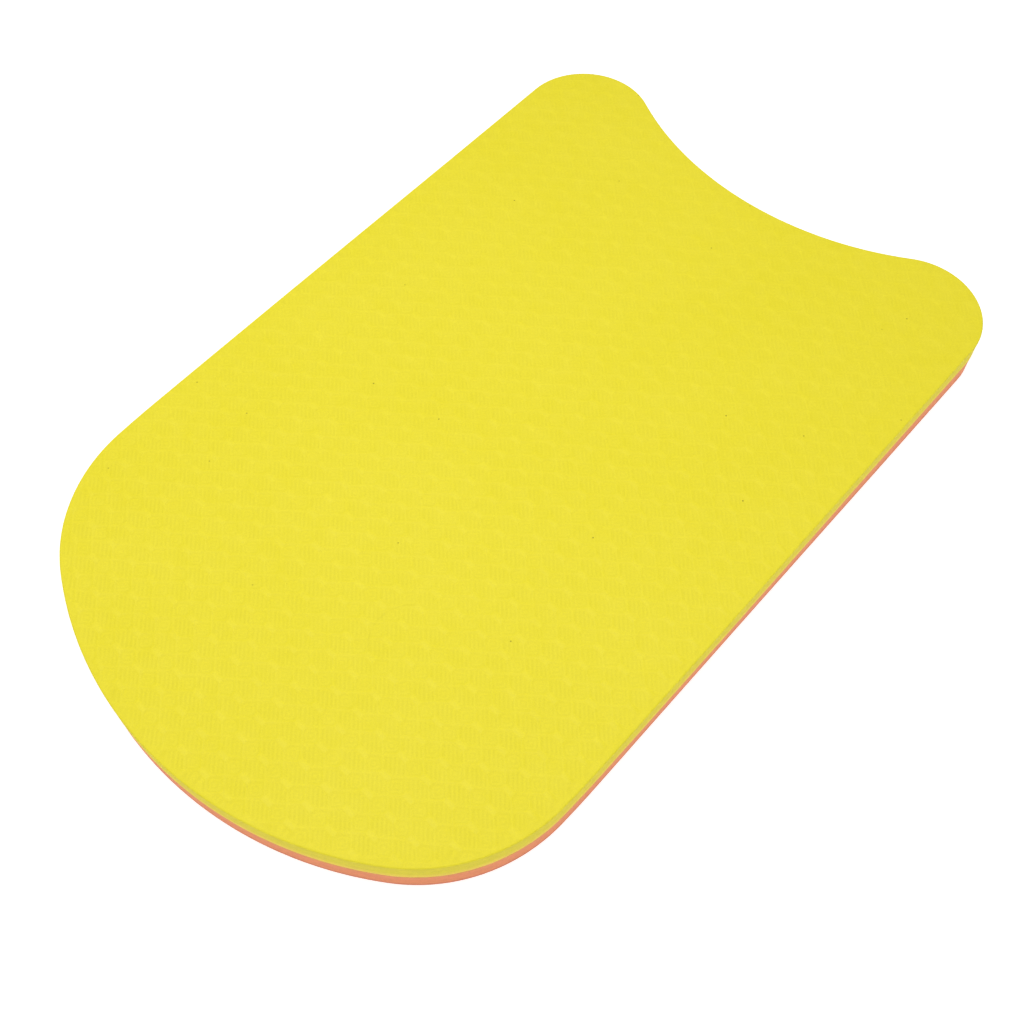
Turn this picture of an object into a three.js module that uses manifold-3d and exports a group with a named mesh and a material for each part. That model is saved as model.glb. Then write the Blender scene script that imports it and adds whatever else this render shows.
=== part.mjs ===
// A kickboard: a flat swimming float cut from two sheets of closed-cell foam glued face to face.
// Millimetres, +Z up. The board lies on its underside. The origin is on that underside, in the
// middle of the board's length and width. +Y points to the rounded nose, -Y to the scooped tail.
import * as THREE from "three";
import Module from "manifold-3d";

const { Manifold, Mesh: SolidMesh } = await prepareSolids();

// Thickness, from the ground up: lower sheet, glue film, upper sheet.
const SHEET_THICKNESS = 12.35;
const FILM_THICKNESS = 0.3;
const SEAM_LOW = SHEET_THICKNESS;
const SEAM_HIGH = SEAM_LOW + FILM_THICKNESS;
const BOARD_THICKNESS = SEAM_HIGH + SHEET_THICKNESS;

// The outline's right half, from the tip of the nose round to the middle of the tail. Each arc
// runs on smoothly from the one before. The angles say how far the edge turns along the arc.
const LENGTH = 450;
const NOSE_RADIUS = 185;
const NOSE_ANGLE = degrees(33.1);
const SHOULDER_RADIUS = 84.5;
const SHOULDER_ANGLE = degrees(53.7);
const FLANK_RADIUS = 600;
const SIDE_TAPER = degrees(0.9); // each straight side leans in towards the nose by this much
const LOBE_RADIUS = 37;
const LOBE_ANGLE = degrees(120.8);
const LIP_LENGTH = 2.8; // short straight run from a tail lobe into the scoop

const EDGE_ROUNDING = 0.8; // the rubbed edge where a cut side meets a face
const EDGE_STEPS = 4;
const CHORD_ERROR = 0.02; // how far a chord of an arc may stand off the true curve

const COLOURS = { yellow: 0xefe244, coral: 0xe88a66, glue: 0xe9cf86 };

async function prepareSolids() {
  const library = await Module();
  library.setup();
  return library;
}

function degrees(angle) {
  return THREE.MathUtils.degToRad(angle);
}

// A pen that draws the outline: its place, its heading and the points drawn so far.
function newPen() {
  const start = new THREE.Vector2(0, LENGTH / 2);
  return { place: start, heading: 0, points: [start.clone()] };
}

function drawLine(pen, distance) {
  const step = new THREE.Vector2(Math.cos(pen.heading), Math.sin(pen.heading));
  pen.place = pen.place.clone().addScaledVector(step, distance);
  pen.points.push(pen.place.clone());
}

// Draws an arc that starts along the pen's heading. A positive turn is to the left.
function drawArc(pen, radius, turn) {
  const towardCentre = pen.heading + (Math.sign(turn) * Math.PI) / 2;
  const centre = pen.place
    .clone()
    .add(new THREE.Vector2(Math.cos(towardCentre), Math.sin(towardCentre)).multiplyScalar(radius));
  const widestStep = 2 * Math.acos(1 - CHORD_ERROR / radius);
  const steps = Math.ceil(Math.abs(turn) / widestStep);
  for (let i = 1; i <= steps; i++) {
    const angle = towardCentre + Math.PI + (turn * i) / steps;
    const spoke = new THREE.Vector2(Math.cos(angle), Math.sin(angle)).multiplyScalar(radius);
    pen.points.push(centre.clone().add(spoke));
  }
  pen.place = pen.points.at(-1).clone();
  pen.heading += turn;
}

// How long the straight side is, so that the tail lobe that follows it ends at the board's tail.
function sideLength(pen) {
  const lobeStart = -LENGTH / 2 + LOBE_RADIUS * (1 + Math.sin(SIDE_TAPER));
  return (pen.place.y - lobeStart) / Math.cos(SIDE_TAPER);
}

// The scoop is one arc across the tail. It meets the board's middle line square on.
function drawHalfScoop(pen) {
  const radius = pen.place.x / Math.sin(pen.heading);
  drawArc(pen, radius, -Math.PI - pen.heading);
}

function rightHalfOutline() {
  const pen = newPen();
  const sideHeading = SIDE_TAPER - Math.PI / 2;
  drawArc(pen, NOSE_RADIUS, -NOSE_ANGLE);
  drawArc(pen, SHOULDER_RADIUS, -SHOULDER_ANGLE);
  drawArc(pen, FLANK_RADIUS, sideHeading - pen.heading);
  drawLine(pen, sideLength(pen));
  drawArc(pen, LOBE_RADIUS, -LOBE_ANGLE);
  drawLine(pen, LIP_LENGTH);
  drawHalfScoop(pen);
  return pen.points;
}

function boardShape() {
  const right = rightHalfOutline();
  const betweenTheMiddles = right.slice(1, -1);
  const left = betweenTheMiddles.map((point) => new THREE.Vector2(-point.x, point.y)).reverse();
  return new THREE.Shape([...right, ...left]);
}

// The board's outline as a slab, with both of its edges rounded.
function roundedSlab(shape, low, high) {
  const slab = new THREE.ExtrudeGeometry(shape, {
    depth: high - low - 2 * EDGE_ROUNDING,
    bevelSize: EDGE_ROUNDING,
    bevelThickness: EDGE_ROUNDING,
    bevelOffset: -EDGE_ROUNDING,
    bevelSegments: EDGE_STEPS,
  });
  return slab.translate(0, 0, low + EDGE_ROUNDING);
}

function toSolid(geometry) {
  const corners = geometry.getAttribute("position").array;
  const mesh = new SolidMesh({
    numProp: 3,
    vertProperties: new Float32Array(corners),
    triVerts: Uint32Array.from({ length: corners.length / 3 }, (_, i) => i),
  });
  mesh.merge();
  return new Manifold(mesh);
}

function toGeometry(solid) {
  const mesh = solid.getMesh();
  const indexed = new THREE.BufferGeometry();
  indexed.setAttribute("position", new THREE.BufferAttribute(mesh.vertProperties, mesh.numProp));
  indexed.setIndex(new THREE.BufferAttribute(mesh.triVerts, 1));
  const faceted = indexed.toNonIndexed();
  faceted.computeVertexNormals();
  return faceted;
}

function foamMaterial(colour) {
  return new THREE.MeshStandardMaterial({ color: colour, roughness: 0.75, metalness: 0 });
}

function namedMesh(name, geometry, material) {
  const mesh = new THREE.Mesh(geometry, material);
  mesh.name = name;
  return mesh;
}

// Yellow sheet, the side that the swimmer leans on. Its lower face is cut flat for the glue.
function upperSheet(shape) {
  const slab = toSolid(roundedSlab(shape, 0, BOARD_THICKNESS));
  const sheet = slab.trimByPlane([0, 0, 1], SEAM_HIGH);
  return namedMesh("upper_foam_sheet", toGeometry(sheet), foamMaterial(COLOURS.yellow));
}

// Coral sheet, the side that lies on the water. Its upper face is cut flat for the glue.
function lowerSheet(shape) {
  const slab = toSolid(roundedSlab(shape, 0, BOARD_THICKNESS));
  const sheet = slab.trimByPlane([0, 0, -1], -SEAM_LOW);
  return namedMesh("lower_foam_sheet", toGeometry(sheet), foamMaterial(COLOURS.coral));
}

// Film of glue that holds the two sheets together over their whole area.
function glueFilm(shape) {
  const film = new THREE.ExtrudeGeometry(shape, { depth: FILM_THICKNESS, bevelEnabled: false });
  film.translate(0, 0, SEAM_LOW);
  const material = new THREE.MeshStandardMaterial({
    color: COLOURS.glue,
    roughness: 0.45,
    metalness: 0,
  });
  return namedMesh("glue_film", film, material);
}

function kickboard() {
  const board = new THREE.Group();
  const shape = boardShape();
  board.add(lowerSheet(shape), glueFilm(shape), upperSheet(shape));
  return board;
}

export default kickboard();
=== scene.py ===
import math

import bpy
import numpy as np
from mathutils import Matrix, Vector
from mathutils.geometry import delaunay_2d_cdt
from mathutils.kdtree import KDTree


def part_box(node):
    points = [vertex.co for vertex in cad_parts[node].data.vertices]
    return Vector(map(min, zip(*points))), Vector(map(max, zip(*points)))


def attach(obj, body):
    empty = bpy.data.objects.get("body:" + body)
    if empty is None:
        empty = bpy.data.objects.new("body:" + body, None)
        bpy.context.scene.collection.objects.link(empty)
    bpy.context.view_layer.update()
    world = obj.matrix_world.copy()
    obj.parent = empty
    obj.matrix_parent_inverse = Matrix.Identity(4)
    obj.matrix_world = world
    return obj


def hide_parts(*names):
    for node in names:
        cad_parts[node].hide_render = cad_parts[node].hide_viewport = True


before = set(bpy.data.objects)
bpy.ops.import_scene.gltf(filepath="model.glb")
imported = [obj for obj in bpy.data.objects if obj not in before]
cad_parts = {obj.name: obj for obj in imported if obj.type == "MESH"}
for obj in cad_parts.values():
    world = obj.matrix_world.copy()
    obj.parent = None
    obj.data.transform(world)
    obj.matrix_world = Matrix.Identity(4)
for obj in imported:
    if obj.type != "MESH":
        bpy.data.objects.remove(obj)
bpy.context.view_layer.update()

# Shapes are worked out in millimetres and put into the meshes in metres.
MM = 0.001

# The cut edge of a sheet
RING_STEP = 1.3  # between neighbouring points of the outline
TOP_ROUNDING = 0.8
UNDER_ROUNDING = 0.5
EDGE_STEPS = 4
SEAM_ROUNDING = 0.2
SEAM_STEPS = 3
WALL_ROWS = 8
WALL_HOLLOW = 0.12  # a pressed cut leaves the foam's side slightly hollow
WALL_WAVE = 0.07
SLOW_WAVES = range(14, 40)  # how many times each wave of the side goes round the outline
QUICK_WAVES = range(60, 200, 3)
RIM_WAVE_SHARE = 0.25  # how much of the side's waves is left at its top and bottom

# Along the straight sides the foam swells out a little, and the lower sheet is cut back under it.
SIDE_SWELL = 0.35
SIDE_UNDERCUT = 0.6
SWELL_MIDDLE = 30.0
SWELL_REACH = 150.0
SWELL_TAPER = 1.5

# The glue that shows between the sheets
GLUE_SETBACK = 0.1
GLUE_WANDER = 0.06
GLUE_BULGE = 0.06
GLUE_WAVES = range(25, 160, 5)
GLUE_ROWS = 5

# The emboss: raised smooth patches, a net of ridges between them, and grooves in the net's holes
COLUMN_PITCH = 14.5
ROW_PITCH = 10.6
PATCH_TOP = (2.7, 1.15)  # half width and half length
FLANK_ACROSS = 0.4  # how far the flanks at a patch's sides reach out
FLANK_ALONG = 0.35  # and those at its ends
FLANK_TAPER = 0.1  # how much shorter a flank's foot is than its top, at each corner
RIDGE_HALF_WIDTH = 0.55
PATCH_RISE = 0.172
RIDGE_RISE = 0.093
GROOVE_DEPTH = 0.085
GROOVE_BANK = 0.02  # how far the banks between the low lines stand up
GROOVE_PITCH = 1.95
GROOVE_SHIFT = -0.3
GROOVE_MARGIN = 0.4
GROOVE_RUNOUT = 0.5
SHORTEST_GROOVE = 1.5
MOST_LINES = 9  # grooves and banks to each side of a hole's middle, at most
NESTED_SCALES = (0.79, 0.57, 0.35, 0.13)  # low and high by turns
NESTED_DEPTH = 0.053
FADE_WIDTH = 2.4  # the emboss dies away over this distance towards a cut edge
EMBOSS_WEAR = 0.52  # the share of its height that the emboss lacks at the tail
GRID_MARGIN = 0.55

# How the emboss lies on each face. Turns are in degrees. The rest is in rows or columns: where the
# pattern starts, and how far it has drifted 100 mm from the middle of the board.
TOP_EMBOSS = {
    "row": {"turn": 2.52, "start": -0.502, "bow": -0.13, "fan": 0.025, "stretch": 0.053},
    "column": {"turn": -0.86, "start": -0.552, "bow": -0.048, "fan": 0.094, "stretch": 0.009},
}
UNDER_EMBOSS = {
    "row": {"turn": -1.7, "start": 0.31, "bow": 0.07, "fan": -0.03, "stretch": -0.04},
    "column": {"turn": 0.6, "start": 0.12, "bow": 0.03, "fan": -0.06, "stretch": 0.01},
}
DRIFT_AT = 100.0
PLACING_STEPS = 12
MERGING_GRID = 4096  # corners of neighbouring cells are one where they agree to 1 in this many

# Seeds of the random offsets. Each sheet uses its own and the next few.
UPPER_SEED = 11
LOWER_SEED = 41
GLUE_SEED = 71

SAME_PLACE = 1e-7  # points this near to each other count as one
TINY = 1e-9  # an area or a speed up to this counts as none

# Dark specks scattered over the faces
SPECK_SPACING = 34
SPECK_RADIUS = 0.55
SPECK_SHARE = 0.26  # of the places where a speck could be

# A faint ring on the top face, as (centre, radius, line width), and how much darker it is
RING_SCUFF = ((-42.0, 117.0), 18.7, 0.5)
SCUFF_TONE = 0.045

# How much paler the face is painted where the emboss stands up, as a painted sheen, how much darker
# in its grooves, as painted shade, and how much darker it is on the rounding
PAINTED_RAISED_SHEEN = 0.018
PAINTED_GROOVE_SHADE = 0.047
ROUNDING_DARKENING = 0.035
ROUNDING_DARK_DEPTH = 0.3

# Sizes of the grain and pores of the moulded skin and of the cells of the cut foam
GRAIN_SIZE = 0.55
PORE_SIZE = 1.1
CELL_SIZE = 0.5

# Where the cut side's colour passes into the darker line along the face's edge (on the coral sheet,
# painted contact shade where it stands on the floor), as depths, and into the seam's lighter band,
# partly a painted highlight, as heights above the seam
FACE_RIM_EDGE = (0.8, 2.6)
SEAM_BAND_EDGE = (4.5, 0.4)


# ---------------------------------------------------------------- outline


def film_outline():
    """The board's outline, anticlockwise, from the corners of the glue film."""
    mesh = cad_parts["glue_film"].data
    corners = {(round(v.co.x / MM, 4), round(v.co.y / MM, 4)) for v in mesh.vertices}
    return np.array(sorted(corners, key=lambda corner: math.atan2(corner[1], corner[0])))


def resampled(loop, step):
    closed = np.vstack([loop, loop[:1]])
    lengths = np.linalg.norm(np.diff(closed, axis=0), axis=1)
    run = np.concatenate([[0.0], np.cumsum(lengths)])
    count = round(run[-1] / step)
    places = np.arange(count) * run[-1] / count
    return np.stack([np.interp(places, run, closed[:, k]) for k in (0, 1)], axis=1)


def outward(loop):
    along = np.roll(loop, -1, axis=0) - np.roll(loop, 1, axis=0)
    across = np.stack([along[:, 1], -along[:, 0]], axis=1)
    return across / np.linalg.norm(across, axis=1, keepdims=True)


OUTLINE = resampled(film_outline(), RING_STEP)
OUTWARD = outward(OUTLINE)
RING_COUNT = len(OUTLINE)
FILM_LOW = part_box("glue_film")[0].z / MM
FILM_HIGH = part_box("glue_film")[1].z / MM
FACE_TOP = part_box("upper_foam_sheet")[1].z / MM
FACE_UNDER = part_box("lower_foam_sheet")[0].z / MM


def inset_ring(inset):
    return OUTLINE - OUTWARD * np.reshape(inset, (-1, 1))


def swollen(points):
    """Points of the board with its straight sides swollen, and undercut below the seam."""
    x, y, z = points.T
    share = np.clip(1 - ((y - SWELL_MIDDLE) / SWELL_REACH) ** 2, 0, None) ** SWELL_TAPER
    below = np.clip(1 - z / FILM_LOW, 0, 1)
    wider = share * (SIDE_SWELL - SIDE_UNDERCUT * below) / OUTLINE[:, 0].max()
    return np.stack([x * (1 + wider), y, z], axis=1)


def depth_inside(points):
    """How far each point lies inside the outline. Negative is outside."""
    tree = KDTree(RING_COUNT)
    for k, (x, y) in enumerate(OUTLINE):
        tree.insert((x, y, 0.0), k)
    tree.balance()
    nearest = np.array([tree.find((x, y, 0.0))[1] for x, y in points])
    return -np.sum((points - OUTLINE[nearest]) * OUTWARD[nearest], axis=1)


# ---------------------------------------------------------------- triangles


def even_odd_inside(points, starts, ends):
    """Whether each point is inside the closed loops that these edges make."""
    px, py = points[:, :1], points[:, 1:]
    (ax, ay), (bx, by) = starts.T, ends.T
    spans = (ay > py) != (by > py)
    rise = np.where(by == ay, 1.0, by - ay)
    crossing_x = ax + (py - ay) * (bx - ax) / rise
    return (np.sum(spans & (px < crossing_x), axis=1) % 2) == 1


def triangulated(points, edges):
    """Triangles over the points, with these edges among theirs, as indices of the points."""
    coords = [Vector(point) for point in points]
    _, _, faces, sources, _, _ = delaunay_2d_cdt(coords, edges, [], 0, SAME_PLACE)
    triangles = [[sources[corner][0] for corner in face] for face in faces]
    return upright(np.array(points), np.array(triangles))


def upright(points, triangles):
    """The triangles, all anticlockwise."""
    a, b, c = (points[triangles[:, k]] for k in range(3))
    area = (b[:, 0] - a[:, 0]) * (c[:, 1] - a[:, 1]) - (b[:, 1] - a[:, 1]) * (c[:, 0] - a[:, 0])
    turned = triangles.copy()
    turned[area < 0] = triangles[area < 0][:, ::-1]
    return turned[np.abs(area) > TINY]


def centroids(points, triangles):
    return points[triangles].mean(axis=1)


def loop_edges(first, count):
    return [(first + k, first + (k + 1) % count) for k in range(count)]


def filled_ring(ring):
    """Triangles that fill one closed ring."""
    triangles = triangulated(ring, loop_edges(0, len(ring)))
    inside = even_odd_inside(centroids(ring, triangles), ring, np.roll(ring, -1, axis=0))
    return triangles[inside]


def border_edges(triangles):
    """The edges that only one triangle has."""
    edges = np.vstack([triangles[:, [0, 1]], triangles[:, [1, 2]], triangles[:, [2, 0]]])
    ends = np.sort(edges, axis=1)
    _, which, times = np.unique(ends, axis=0, return_inverse=True, return_counts=True)
    return edges[times[which.ravel()] == 1]


def band_between(grid, triangles, ring):
    """Triangles from the rim of the grid out to the ring. The ring's points follow the grid's."""
    rim = border_edges(triangles)
    rim_points = np.unique(rim)
    points = np.vstack([grid[rim_points], ring])
    rim_local = np.searchsorted(rim_points, rim)
    edges = [tuple(map(int, edge)) for edge in rim_local] + loop_edges(len(rim_points), len(ring))
    found = triangulated(points, edges)
    middles = centroids(points, found)
    in_ring = even_odd_inside(middles, ring, np.roll(ring, -1, axis=0))
    in_grid = even_odd_inside(middles, grid[rim[:, 0]], grid[rim[:, 1]])
    names = np.concatenate([rim_points, len(grid) + np.arange(len(ring))])
    return names[found[in_ring & ~in_grid]]


# ---------------------------------------------------------------- emboss


def counted(settings, across, along, pitch):
    """The row or column at a place, before drift. They are counted along 'along'."""
    turn = math.radians(settings["turn"])
    straight = (along * math.cos(turn) + across * math.sin(turn)) / pitch
    return straight + settings["start"]


def lattice(emboss, x, y):
    """(column, row) of the emboss at a place on the face."""
    row, column = emboss["row"], emboss["column"]
    rows = counted(row, x, y, ROW_PITCH) + drift(row, x, y)
    columns = counted(column, y, x, COLUMN_PITCH) + drift(column, x, y)
    return columns, rows


def drift(settings, x, y):
    """How many rows or columns the pattern has strayed by at a place."""
    u, v = x / DRIFT_AT, y / DRIFT_AT
    return settings["bow"] * u * u + settings["fan"] * u * v + settings["stretch"] * v * v


def board_place(emboss, columns, rows):
    """The place on the face of a (column, row), by steps that each take up what is still wrong."""
    x, y = columns * COLUMN_PITCH, rows * ROW_PITCH
    for _ in range(PLACING_STEPS):
        there = lattice(emboss, x, y)
        x = x + (columns - there[0]) * COLUMN_PITCH
        y = y + (rows - there[1]) * ROW_PITCH
    return x, y


class Cell:
    """One repeat of the emboss, centred on a patch. Points are (across, along, height) in mm."""

    def __init__(self):
        self.points = []
        self.triangles = []

    def add(self, points, triangles):
        first = len(self.points)
        self.points += [tuple(map(float, point)) for point in points]
        self.triangles += [[first + corner for corner in triangle] for triangle in triangles]

    def add_quad(self, *corners):
        self.add(corners, [(0, 1, 2), (0, 2, 3)])


def hexagon_between_rows():
    """The hole between a patch and the next one along, from the patch's edge round."""
    low = (PATCH_TOP[0] - FLANK_TAPER, PATCH_TOP[1] + FLANK_ALONG)
    side = COLUMN_PITCH / 2 - RIDGE_HALF_WIDTH
    middle, high = ROW_PITCH / 2, ROW_PITCH - low[1]
    return np.array(
        [(-low[0], low[1]), low, (side, middle), (low[0], high), (-low[0], high), (-side, middle)]
    )


def hexagon_between_columns():
    """The hole between a patch and the next one across."""
    near = (PATCH_TOP[0] + FLANK_ACROSS, PATCH_TOP[1] - FLANK_TAPER)
    middle, far = COLUMN_PITCH / 2, COLUMN_PITCH - near[0]
    tip = ROW_PITCH / 2 - RIDGE_HALF_WIDTH
    return np.array(
        [(near[0], -near[1]), (middle, -tip), (far, -near[1]), (far, near[1]), (middle, tip), near]
    )


def chord(polygon, start, way):
    """Where a straight line enters and leaves a convex anticlockwise polygon, as distances."""
    enter, leave = -math.inf, math.inf
    for corner, following in zip(polygon, np.roll(polygon, -1, axis=0)):
        edge = following - corner
        inward = np.array([-edge[1], edge[0]])
        speed = inward @ way
        reach = inward @ (corner - start)
        if speed > TINY:
            enter = max(enter, reach / speed)
        elif speed < -TINY:
            leave = min(leave, reach / speed)
    return enter, leave


def shrunk(polygon, margin):
    centre = polygon.mean(axis=0)
    reach = np.linalg.norm(polygon - centre, axis=1, keepdims=True)
    return centre + (polygon - centre) * (1 - margin / reach)


def groove_lines(polygon):
    """Slanted lines across a hole: (points with heights, edges between them)."""
    centre = polygon.mean(axis=0)
    way = np.array([1.0, -1.0]) / math.sqrt(2)
    step = np.array([1.0, 1.0]) / math.sqrt(2) * GROOVE_PITCH / 2
    inner = shrunk(polygon, GROOVE_MARGIN)
    points, edges = [], []
    for k in range(-MOST_LINES, MOST_LINES + 1):
        start = centre + step * (k + GROOVE_SHIFT)
        enter, leave = chord(inner, start, way)
        if leave - enter < SHORTEST_GROOVE:
            continue
        height = -GROOVE_DEPTH if k % 2 == 0 else GROOVE_BANK
        first_full, last_full = enter + GROOVE_RUNOUT, leave - GROOVE_RUNOUT
        stops = [(enter, 0.0), (first_full, height), (last_full, height), (leave, 0.0)]
        first = len(points)
        points += [(*(start + way * at), height) for at, height in stops]
        edges += [(first + n, first + n + 1) for n in range(len(stops) - 1)]
    return points, edges


def nested_rings(polygon):
    """Smaller copies of a hole inside it, low and high by turns."""
    centre = polygon.mean(axis=0)
    points, edges = [], []
    for k, scale in enumerate(NESTED_SCALES):
        height = -NESTED_DEPTH if k % 2 == 0 else GROOVE_BANK
        edges += loop_edges(len(points), len(polygon))
        points += [(*(centre + (corner - centre) * scale), height) for corner in polygon]
    return points, edges


def add_hole(cell, polygon, inner_points, inner_edges):
    points = [(*corner, 0.0) for corner in polygon] + inner_points
    shifted = [(a + len(polygon), b + len(polygon)) for a, b in inner_edges]
    flat = [point[:2] for point in points]
    cell.add(points, triangulated(flat, loop_edges(0, len(polygon)) + shifted))


def add_patch(cell, beside, above):
    """The patch's top and its four flanks, down to the holes' corners."""
    w, h = PATCH_TOP
    rise = PATCH_RISE
    cell.add_quad((-w, -h, rise), (w, -h, rise), (w, h, rise), (-w, h, rise))
    for s in (-1, 1):
        end_foot = [(above[0], s * above[1], 0), (-above[0], s * above[1], 0)]
        side_foot = [(s * beside[0], beside[1], 0), (s * beside[0], -beside[1], 0)]
        cell.add_quad((-w, s * h, rise), (w, s * h, rise), *end_foot)
        cell.add_quad((s * w, -h, rise), (s * w, h, rise), *side_foot)


def add_ridges(cell, beside, above):
    """The four ridges from the patch's corners to where they cross."""
    crossing = (COLUMN_PITCH / 2, ROW_PITCH / 2)
    for s in (-1, 1):
        for t in (-1, 1):
            corner = (s * PATCH_TOP[0], t * PATCH_TOP[1], PATCH_RISE)
            cross = (s * crossing[0], t * crossing[1], RIDGE_RISE)
            above_far = (s * (crossing[0] - RIDGE_HALF_WIDTH), t * crossing[1], 0)
            beside_far = (s * crossing[0], t * (crossing[1] - RIDGE_HALF_WIDTH), 0)
            cell.add_quad(corner, cross, above_far, (s * above[0], t * above[1], 0))
            cell.add_quad(corner, cross, beside_far, (s * beside[0], t * beside[1], 0))


def emboss_cell():
    cell = Cell()
    row_hole, column_hole = hexagon_between_rows(), hexagon_between_columns()
    above, beside = row_hole[1], column_hole[5]
    add_patch(cell, beside, above)
    add_ridges(cell, beside, above)
    add_hole(cell, row_hole, *groove_lines(row_hole))
    add_hole(cell, column_hole, *nested_rings(column_hole))
    points = np.array(cell.points)
    return points, upright(points[:, :2], np.array(cell.triangles))


CELL_POINTS, CELL_TRIANGLES = emboss_cell()


def repeated_cells(emboss):
    """The emboss over more than the whole face: (places, heights, triangles)."""
    reach = np.abs(OUTLINE).max(axis=0)
    last_column = math.ceil(reach[0] / COLUMN_PITCH) + 2
    last_row = math.ceil(reach[1] / ROW_PITCH) + 2
    columns = np.arange(-last_column, last_column + 1)
    rows = np.arange(-last_row, last_row + 1)
    nodes = np.stack(np.meshgrid(columns, rows), axis=-1).reshape(-1, 1, 2)
    cell = CELL_POINTS[:, :2] / (COLUMN_PITCH, ROW_PITCH)
    places = (nodes + cell).reshape(-1, 2)
    heights = np.tile(CELL_POINTS[:, 2], len(nodes))
    offsets = np.arange(len(nodes)).reshape(-1, 1, 1) * len(CELL_POINTS)
    triangles = (CELL_TRIANGLES + offsets).reshape(-1, 3)
    marks = np.round(places * MERGING_GRID)
    _, first, same = np.unique(marks, axis=0, return_index=True, return_inverse=True)
    x, y = board_place(emboss, *places[first].T)
    return np.stack([x, y], axis=1), heights[first], same.ravel()[triangles]


def embossed_face(emboss, rounding):
    """The face inside the rounded edge: (places, heights, triangles), the last places its ring."""
    places, heights, triangles = repeated_cells(emboss)
    depth = depth_inside(places)
    kept = (depth > rounding + GRID_MARGIN)[triangles].all(axis=1)
    used, triangles = np.unique(triangles[kept], return_inverse=True)
    triangles = triangles.reshape(-1, 3)
    places, heights, depth = places[used], heights[used], depth[used]
    fade = np.clip((depth - rounding) / FADE_WIDTH, 0, 1)
    towards_tail = 0.5 - places[:, 1] / np.ptp(OUTLINE[:, 1])
    heights *= 1 - EMBOSS_WEAR * towards_tail
    ring = inset_ring(rounding)
    band = band_between(places, triangles, ring)
    places = np.vstack([places, ring])
    heights = np.concatenate([heights * fade * fade * (3 - 2 * fade), np.zeros(len(ring))])
    return places, heights, np.vstack([triangles, band])


# ---------------------------------------------------------------- sheets


def wander(seed, waves, size):
    """A smooth random run of offsets round the outline that joins up with itself."""
    draw = np.random.default_rng(seed)
    angle = np.arange(RING_COUNT) / RING_COUNT * 2 * math.pi
    total = np.zeros(RING_COUNT)
    for wave in waves:
        total += draw.normal() * np.sin(wave * angle + draw.uniform(0, 2 * math.pi))
    return size * total / math.sqrt(len(waves) / 2)


def wall_profile(height, rounding):
    """(inset, depth below the face) of each ring down the cut side, past the face's own ring."""
    edge = [
        (rounding * (1 - math.sin(t)), rounding * (1 - math.cos(t)))
        for t in np.linspace(0, math.pi / 2, EDGE_STEPS + 1)[1:]
    ]
    straight = [
        (WALL_HOLLOW * math.sin(math.pi * t), rounding + t * (height - rounding - SEAM_ROUNDING))
        for t in np.linspace(0, 1, WALL_ROWS + 1)[1:]
    ]
    seam = [
        (SEAM_ROUNDING * (1 - math.cos(t)), height - SEAM_ROUNDING * (1 - math.sin(t)))
        for t in np.linspace(0, math.pi / 2, SEAM_STEPS + 1)[1:]
    ]
    return edge + straight + seam


def wall_rings(height, rounding, seed):
    """Places of every ring down the cut side, and their depths below the face."""
    rings, depths = [], []
    slow = wander(seed, SLOW_WAVES, WALL_WAVE / 2)
    for k, (inset, depth) in enumerate(wall_profile(height, rounding)):
        quick = wander(seed + k + 1, QUICK_WAVES, WALL_WAVE / 3)
        middle = math.sin(math.pi * min(depth / height, 1))
        share = RIM_WAVE_SHARE + (1 - RIM_WAVE_SHARE) * middle if depth < height else 0
        uneven = np.abs(slow + quick) * share
        rings.append(inset_ring(inset + uneven))
        depths.append(np.full(RING_COUNT, depth))
    return rings, depths


def strip(first, second):
    """Triangles between two rings, given the index of each ring's first point."""
    near, far = first + np.arange(RING_COUNT), second + np.arange(RING_COUNT)
    near_on, far_on = np.roll(near, -1), np.roll(far, -1)
    return np.vstack([np.stack([near, far, far_on], 1), np.stack([near, far_on, near_on], 1)])


def add_piece(name, points, triangles, face_count, materials):
    """A mesh object from points in mm. The first face_count triangles take the first material."""
    mesh = bpy.data.meshes.new(name)
    mesh.from_pydata((swollen(points) * MM).tolist(), [], triangles.tolist())
    slots = (np.arange(len(triangles)) >= face_count).astype(np.int32)
    mesh.polygons.foreach_set("material_index", slots)
    mesh.polygons.foreach_set("use_smooth", np.ones(len(triangles), bool))
    for material in materials:
        mesh.materials.append(material)
    mesh.update()
    piece = bpy.data.objects.new(name, mesh)
    bpy.context.scene.collection.objects.link(piece)
    return piece


def set_attribute(piece, name, values):
    attribute = piece.data.attributes.new(name, "FLOAT", "POINT")
    attribute.data.foreach_set("value", np.asarray(values, np.float32))


def foam_sheet(name, face_z, seam_z, emboss, rounding, seed, materials):
    """One sheet: an embossed face, a cut side and a flat face for the glue."""
    up = 1 if face_z > seam_z else -1
    skin_z = face_z - up * PATCH_RISE
    places, heights, triangles = embossed_face(emboss, rounding)
    face_count = len(triangles)
    rings, depths = wall_rings(abs(skin_z - seam_z), rounding, seed)
    first = len(places) - RING_COUNT
    walls = [strip(first + k * RING_COUNT, first + (k + 1) * RING_COUNT) for k in range(len(rings))]
    face_count += EDGE_STEPS * len(walls[0])
    last = len(places) + (len(rings) - 1) * RING_COUNT
    glue_face = filled_ring(rings[-1])[:, ::-1] + last
    flat = np.vstack([places, *rings])
    z = np.concatenate([skin_z + up * heights, *(skin_z - up * depth for depth in depths)])
    triangles = np.vstack([triangles, *walls, glue_face])[:, ::up]
    piece = add_piece(name, np.column_stack([flat, z]), triangles, face_count, materials)
    extra = len(rings) * RING_COUNT
    set_attribute(piece, "relief", np.concatenate([heights / PATCH_RISE, np.zeros(extra)]))
    set_attribute(piece, "depth", np.concatenate([np.zeros(len(places)), *depths]) * MM)
    along = np.arange(RING_COUNT) * RING_STEP * MM
    set_attribute(piece, "along", np.concatenate([np.zeros(first), np.tile(along, len(rings) + 1)]))
    return piece


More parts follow.
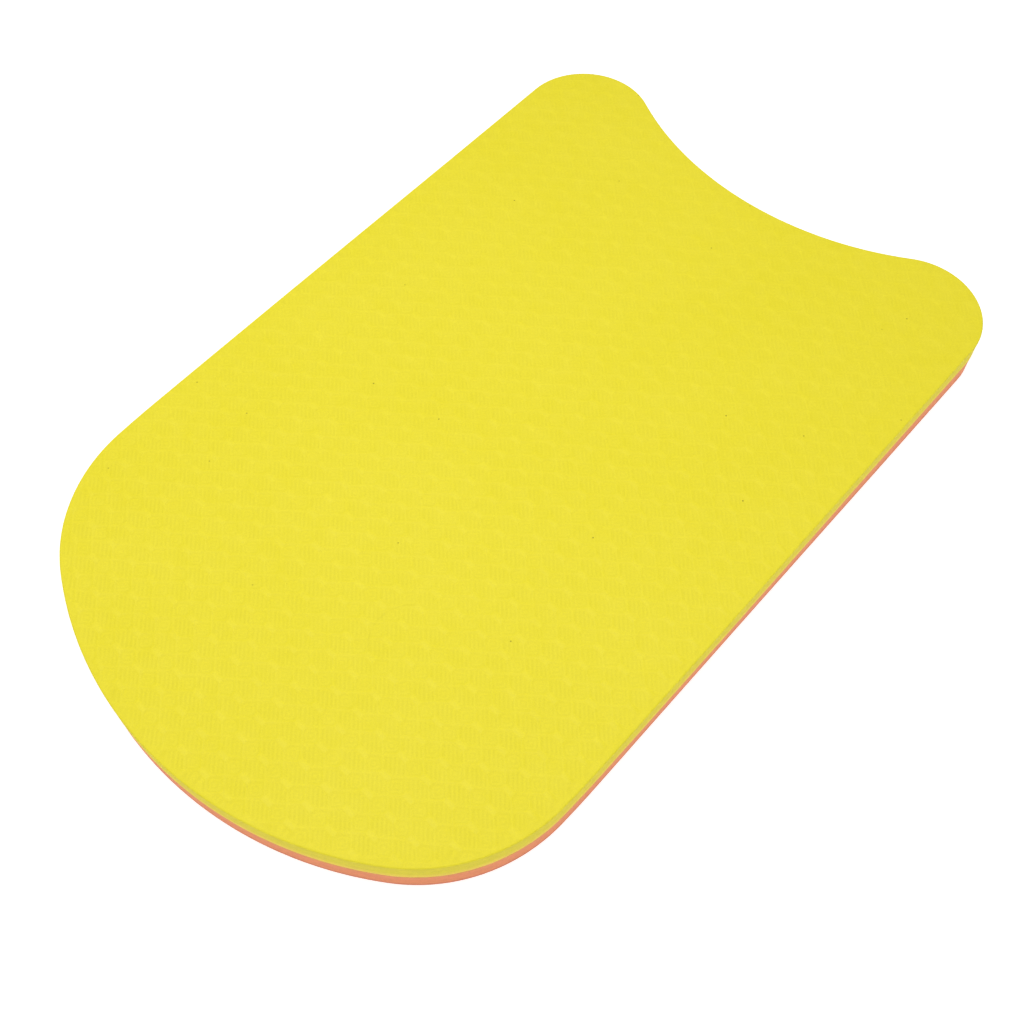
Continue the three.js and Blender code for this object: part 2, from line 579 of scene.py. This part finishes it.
def glue_line(name, material):
    """The film of glue. Its edge shows between the sheets, and wanders a little."""
    setback = GLUE_SETBACK + np.abs(wander(GLUE_SEED, GLUE_WAVES, GLUE_WANDER))
    half = (FILM_HIGH - FILM_LOW) / 2
    middle = (FILM_HIGH + FILM_LOW) / 2
    rings, z = [], []
    for t in np.linspace(-1, 1, GLUE_ROWS):
        rings.append(inset_ring(setback - GLUE_BULGE * (1 - t * t)))
        z.append(np.full(RING_COUNT, middle + half * t))
    walls = [strip((k + 1) * RING_COUNT, k * RING_COUNT) for k in range(len(rings) - 1)]
    top = filled_ring(rings[-1]) + (len(rings) - 1) * RING_COUNT
    under = filled_ring(rings[0])[:, ::-1]
    points = np.column_stack([np.vstack(rings), np.concatenate(z)])
    triangles = np.vstack([*walls, top, under])
    return add_piece(name, points, triangles, len(triangles), [material])


# ---------------------------------------------------------------- materials


class Shader:
    """A material's nodes, made one at a time."""

    def __init__(self, name):
        self.material = bpy.data.materials.new(name)
        self.material.use_nodes = True
        self.tree = self.material.node_tree
        self.surface = self.tree.nodes["Principled BSDF"]
        self.place = self.node("ShaderNodeTexCoord").outputs["Object"]

    def node(self, kind, inputs=None, **settings):
        made = self.tree.nodes.new(kind)
        for key, value in settings.items():
            setattr(made, key, value)
        for key, value in (inputs or {}).items():
            self.feed(made.inputs[key], value)
        return made

    def feed(self, socket, value):
        if isinstance(value, bpy.types.NodeSocket):
            self.tree.links.new(value, socket)
        else:
            socket.default_value = value

    def math(self, operation, *values, clamp=False):
        inputs = dict(enumerate(values))
        return self.node("ShaderNodeMath", inputs, operation=operation, use_clamp=clamp).outputs[0]

    def product(self, first, *others):
        for other in others:
            first = self.math("MULTIPLY", first, other)
        return first

    def ranged(self, value, low, high, to_low, to_high):
        limits = {"From Min": low, "From Max": high, "To Min": to_low, "To Max": to_high}
        return self.node("ShaderNodeMapRange", {"Value": value, **limits}).outputs["Result"]

    def varied(self, noise, low, high):
        """The noise, which seldom leaves 0.3 to 0.7, brought to between low and high."""
        return self.ranged(noise, 0.3, 0.7, low, high)

    def vector_math(self, operation, first, second=None):
        inputs = {0: first} if second is None else {0: first, 1: second}
        return self.node("ShaderNodeVectorMath", inputs, operation=operation)

    def noise(self, size, detail=2.0, vector=None, stretch=None):
        vector = vector or self.place
        if stretch:
            vector = self.vector_math("MULTIPLY", vector, stretch).outputs[0]
        inputs = {"Vector": vector, "Scale": 1 / (size * MM), "Detail": detail, "Roughness": 0.55}
        return self.node("ShaderNodeTexNoise", inputs).outputs["Fac"]

    def attribute(self, name):
        return self.node("ShaderNodeAttribute", attribute_name=name).outputs["Fac"]

    def tinted(self, colour, factor):
        inputs = {0: colour, "Scale": factor}
        return self.node("ShaderNodeVectorMath", inputs, operation="SCALE").outputs[0]

    def mixed(self, factor, first, second):
        made = self.node("ShaderNodeMix", data_type="RGBA")
        self.feed(made.inputs[0], factor)
        self.feed(made.inputs[6], first)
        self.feed(made.inputs[7], second)
        return made.outputs[2]

    def bump(self, height, distance, strength=1.0, normal=None):
        inputs = {"Height": height, "Distance": distance * MM, "Strength": strength}
        if normal:
            inputs["Normal"] = normal
        return self.node("ShaderNodeBump", inputs).outputs["Normal"]

    def finish(self, **inputs):
        for key, value in inputs.items():
            self.feed(self.surface.inputs[key.replace("_", " ")], value)
        return self.material


def specks(shader):
    """Up to 1 in a few tiny specks scattered over the face, else 0."""
    inputs = {"Vector": shader.place, "Scale": 1 / (SPECK_SPACING * MM)}
    cells = shader.node("ShaderNodeTexVoronoi", inputs, voronoi_dimensions="2D")
    edge = SPECK_RADIUS / SPECK_SPACING
    speck = shader.ranged(cells.outputs["Distance"], edge * 0.3, edge, 1.0, 0.0)
    lots = shader.node("ShaderNodeSeparateColor", {"Color": cells.outputs["Color"]}).outputs
    chosen = shader.math("GREATER_THAN", lots[0], 1 - SPECK_SHARE)
    strength = shader.ranged(lots[1], 0.0, 1.0, 0.35, 1.0)
    return shader.product(speck, chosen, strength)


def ring_scuff(shader, centre, radius, width):
    """1 along part of a thin ring on the face, where something round has stood, else 0."""
    middle = (centre[0] * MM, centre[1] * MM, 0.0)
    spoke = shader.vector_math("SUBTRACT", shader.place, middle).outputs[0]
    flat = shader.vector_math("MULTIPLY", spoke, (1.0, 1.0, 0.0)).outputs[0]
    reach = shader.vector_math("LENGTH", flat).outputs["Value"]
    off = shader.math("ABSOLUTE", shader.math("SUBTRACT", reach, radius * MM))
    ring = shader.ranged(off, width * MM / 2, width * MM, 1.0, 0.0)
    across = shader.node("ShaderNodeSeparateXYZ", {0: spoke}).outputs["X"]
    part = shader.ranged(across, 0.3 * radius * MM, 0.7 * radius * MM, 0.0, 1.0)
    worn = shader.ranged(shader.noise(5, 2), 0.35, 0.55, 0.3, 1.0)
    return shader.product(ring, part, worn)


def skin_material(name, deep, pale, speck, scuffs=()):
    """The sheet's own moulded face. Its relief is 1 on the highest patches and 0 on the level."""
    shader = Shader(name)
    relief = shader.attribute("relief")
    clouds = shader.math("ADD", shader.noise(70, 3), shader.noise(8, 2))
    grain = shader.noise(GRAIN_SIZE, 2)
    pores = shader.noise(PORE_SIZE, 3)
    lowest, bank = -GROOVE_DEPTH / PATCH_RISE, GROOVE_BANK / PATCH_RISE
    uneven = shader.ranged(shader.noise(9, 2), 0.35, 0.65, 0.65, 1.15)
    # Painted light: the raised emboss is painted paler as a sheen, and its grooves darker as shade
    painted_relief_light = shader.ranged(relief, lowest, bank, -PAINTED_GROOVE_SHADE, PAINTED_RAISED_SHEEN)
    tone = shader.math("ADD", 1.0, shader.product(painted_relief_light, uneven))
    fine = [shader.varied(grain, 0.966, 1.034), shader.varied(pores, 0.983, 1.017)]
    depth = shader.attribute("depth")
    # The face is darker on the rounding of its edge
    darker_on_rounding = shader.ranged(depth, 0.0, ROUNDING_DARK_DEPTH * MM, 1.0, 1.0 - ROUNDING_DARKENING)
    tone = shader.product(tone, *fine, darker_on_rounding)
    for scuff in scuffs:
        mark = shader.product(ring_scuff(shader, *scuff), SCUFF_TONE)
        tone = shader.math("SUBTRACT", tone, mark)
    base = shader.mixed(shader.ranged(clouds, 0.7, 1.3, 0.0, 1.0), deep, pale)
    base = shader.tinted(base, tone)
    base = shader.mixed(specks(shader), base, speck)
    rough = shader.ranged(relief, -0.5, 1.0, 0.64, 0.54)
    rough = shader.math("ADD", rough, shader.varied(grain, -0.05, 0.05))
    normal = shader.bump(pores, 0.05)
    normal = shader.bump(grain, 0.035, normal=normal)
    return shader.finish(Base_Color=base, Roughness=rough, Normal=normal, Specular_IOR_Level=0.3)


def cut_material(name, colour, rim_line_and_contact_shade, seam_line_and_highlight, height):
    """The side, cut through the foam: open cells and the faint streaks of the blade."""
    shader = Shader(name)
    depth = shader.attribute("depth")
    along = shader.attribute("along")
    strip_place = shader.node("ShaderNodeCombineXYZ", {"X": along, "Y": depth}).outputs[0]
    streaks = shader.noise(1.0, 3, strip_place, (0.06, 1.0, 1.0))
    cells = shader.noise(CELL_SIZE, 2)
    clouds = shader.noise(6, 3)
    patches = shader.noise(1.4, 2)
    tone = shader.product(
        shader.varied(cells, 0.92, 1.08),
        shader.varied(patches, 0.965, 1.035),
        shader.varied(streaks, 0.955, 1.045),
        shader.varied(clouds, 0.98, 1.02),
    )
    # Near the face: a darker line under the yellow top edge, and painted contact shade along the
    # coral sheet's rim on the floor
    near_face_rim = shader.ranged(depth, FACE_RIM_EDGE[0] * MM, FACE_RIM_EDGE[1] * MM, 1.0, 0.0)
    # Near the seam: a lighter band, partly the fused foam's own colour and partly a painted
    # highlight
    seam_start, seam_full = ((height - above) * MM for above in SEAM_BAND_EDGE)
    near_seam_highlight = shader.ranged(depth, seam_start, seam_full, 0.0, 1.0)
    base = shader.mixed(near_face_rim, colour, rim_line_and_contact_shade)
    base = shader.mixed(near_seam_highlight, base, seam_line_and_highlight)
    base = shader.tinted(base, tone)
    normal = shader.bump(cells, 0.13)
    normal = shader.bump(streaks, 0.05, normal=normal)
    rough = shader.varied(cells, 0.78, 0.92)
    return shader.finish(Base_Color=base, Roughness=rough, Normal=normal, Specular_IOR_Level=0.2)


def glue_material(name, colour, thick):
    shader = Shader(name)
    lumps = shader.noise(1.6, 3)
    base = shader.mixed(shader.ranged(lumps, 0.35, 0.65, 0.0, 1.0), colour, thick)
    normal = shader.bump(lumps, 0.08)
    rough = shader.varied(lumps, 0.35, 0.5)
    return shader.finish(Base_Color=base, Roughness=rough, Normal=normal, Specular_IOR_Level=0.4)


def linear(red, green, blue):
    """A colour given in 0 to 255, as the light that it stands for."""
    channels = [value / 255 for value in (red, green, blue)]
    return (*(c / 12.92 if c <= 0.04045 else ((c + 0.055) / 1.055) ** 2.4 for c in channels), 1.0)


# ---------------------------------------------------------------- pieces


SHEET_HEIGHT = FACE_TOP - FILM_HIGH

yellow_skin = skin_material(
    "yellow_skin",
    linear(223, 210, 34),
    linear(225, 212, 44),
    linear(128, 116, 0),
    [RING_SCUFF],
)
yellow_cut = cut_material(
    "yellow_cut",
    linear(220, 206, 58),
    # darker line under the top edge
    linear(215, 202, 52),
    # lighter seam band, partly a painted highlight
    linear(236, 209, 88),
    SHEET_HEIGHT,
)
coral_skin = skin_material(
    "coral_skin",
    linear(225, 124, 83),
    linear(227, 128, 89),
    linear(120, 60, 40),
)
coral_cut = cut_material(
    "coral_cut",
    linear(230, 145, 104),
    # painted contact shade along the rim that stands on the floor
    linear(200, 122, 92),
    linear(228, 148, 100),
    SHEET_HEIGHT,
)
glue = glue_material("dried_glue", linear(240, 205, 110), linear(246, 218, 132))

upper = foam_sheet(
    "upper_sheet_foam",
    FACE_TOP,
    FILM_HIGH,
    TOP_EMBOSS,
    TOP_ROUNDING,
    UPPER_SEED,
    [yellow_skin, yellow_cut],
)
lower = foam_sheet(
    "lower_sheet_foam",
    FACE_UNDER,
    FILM_LOW,
    UNDER_EMBOSS,
    UNDER_ROUNDING,
    LOWER_SEED,
    [coral_skin, coral_cut],
)
film = glue_line("glue_line", glue)

for piece, node, slot in (
    (upper, "upper_foam_sheet", "yellow_foam"),
    (lower, "lower_foam_sheet", "coral_foam"),
    (film, "glue_film", "glue"),
):
    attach(piece, "root")
    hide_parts(node)


# ---------------------------------------------------------------- stage


FLOOR_SIZE = 16.0
FLOOR_GREY = 0.68
FLOOR_GLOW = 0.64
WHITE = (1.0, 1.0, 1.0, 1.0)

ROOM_LIGHT = 0.54
BACKDROP_LIGHT = 1.1

# Place and target in metres, size in metres and power in watts
KEY_LIGHT = ((0.06, 0.06, 0.92), (0.0, 0.03, 0.0), 0.95, 6.3)
FILL_LIGHT = ((-1.1, -0.2, 0.35), (0.0, 0.0, 0.01), 0.8, 0.3)

# The photo's viewing angle, from a fit of the board's outline
CAMERA_PLACE = (-0.222965, 0.265939, 0.528335)
CAMERA_TARGET = (-0.031746, 0.037558, 0.025)
CAMERA_ROLL = 1.059  # degrees
CAMERA_LENS = 44.3155  # mm
SENSOR_WIDTH = 36.0
CLIP_START = 0.02


def add_floor():
    bpy.ops.mesh.primitive_plane_add(size=FLOOR_SIZE)
    floor = bpy.context.object
    floor.name = "floor"
    shader = Shader("floor")
    floor.data.materials.append(
        shader.finish(
            Base_Color=(FLOOR_GREY, FLOOR_GREY, FLOOR_GREY, 1.0),
            Roughness=1.0,
            Specular_IOR_Level=0.0,
            Emission_Color=WHITE,
            Emission_Strength=FLOOR_GLOW,
        )
    )


def add_world(light, seen):
    """An even pale room. The backdrop that is seen beyond the floor is as bright as the floor."""
    world = bpy.data.worlds.new("studio")
    world.use_nodes = True
    tree = world.node_tree
    background = tree.nodes["Background"]
    background.inputs["Color"].default_value = WHITE
    strength = tree.nodes.new("ShaderNodeMapRange")
    strength.inputs["To Min"].default_value = light
    strength.inputs["To Max"].default_value = seen
    seen_directly = tree.nodes.new("ShaderNodeLightPath").outputs["Is Camera Ray"]
    tree.links.new(seen_directly, strength.inputs["Value"])
    tree.links.new(strength.outputs["Result"], background.inputs["Strength"])
    bpy.context.scene.world = world


def add_soft_light(name, place, target, size, power):
    lamp = bpy.data.lights.new(name, "AREA")
    lamp.shape = "DISK"
    lamp.size = size
    lamp.energy = power
    light = bpy.data.objects.new(name, lamp)
    bpy.context.scene.collection.objects.link(light)
    light.location = place
    way = Vector(target) - Vector(place)
    light.rotation_euler = way.to_track_quat("-Z", "Y").to_euler()


def add_camera(place, target, roll, lens):
    data = bpy.data.cameras.new("camera")
    data.lens = lens
    data.sensor_width = SENSOR_WIDTH
    data.clip_start = CLIP_START
    camera = bpy.data.objects.new("camera", data)
    bpy.context.scene.collection.objects.link(camera)
    way = Vector(target) - Vector(place)
    turn = way.to_track_quat("-Z", "Y").to_matrix().to_4x4()
    camera.matrix_world = Matrix.Translation(place) @ turn @ Matrix.Rotation(roll, 4, "Z")
    bpy.context.scene.camera = camera


add_floor()
add_world(ROOM_LIGHT, BACKDROP_LIGHT)
add_soft_light("key", *KEY_LIGHT)
add_soft_light("fill", *FILL_LIGHT)
add_camera(CAMERA_PLACE, CAMERA_TARGET, math.radians(CAMERA_ROLL), CAMERA_LENS)
bpy.context.scene.view_settings.view_transform = "Standard"
